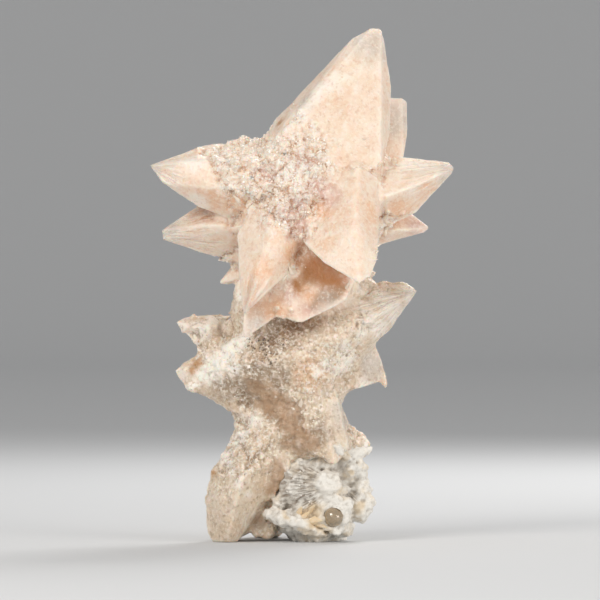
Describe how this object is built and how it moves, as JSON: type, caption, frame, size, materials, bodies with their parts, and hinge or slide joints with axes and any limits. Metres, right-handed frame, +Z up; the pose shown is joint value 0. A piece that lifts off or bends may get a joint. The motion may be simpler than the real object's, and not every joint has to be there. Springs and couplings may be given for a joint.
{
  "type": "dogtooth calcite cluster",
  "caption": "Mineral specimen: a star of peach dogtooth calcite crystals on a narrow stalk, with a foot of white chalky matrix, standing on its broken base.",
  "frame": {"origin": "below the middle of the specimen's bounding box, on the surface that it rests on", "axes": "+Z up, -Y towards the viewer of the specimen's best side, +X to that viewer's right"},
  "size_m": [0.0304, 0.0248, 0.0512],
  "materials": {
    "peach_calcite": "translucent crystal faces, sugary between them",
    "chalky_matrix": "dull chalky crust with tan stains"
  },
  "bodies": {
    "root": {"calcite_cluster": "peach_calcite", "white_matrix": "chalky_matrix"}
  },
  "joints": []
}
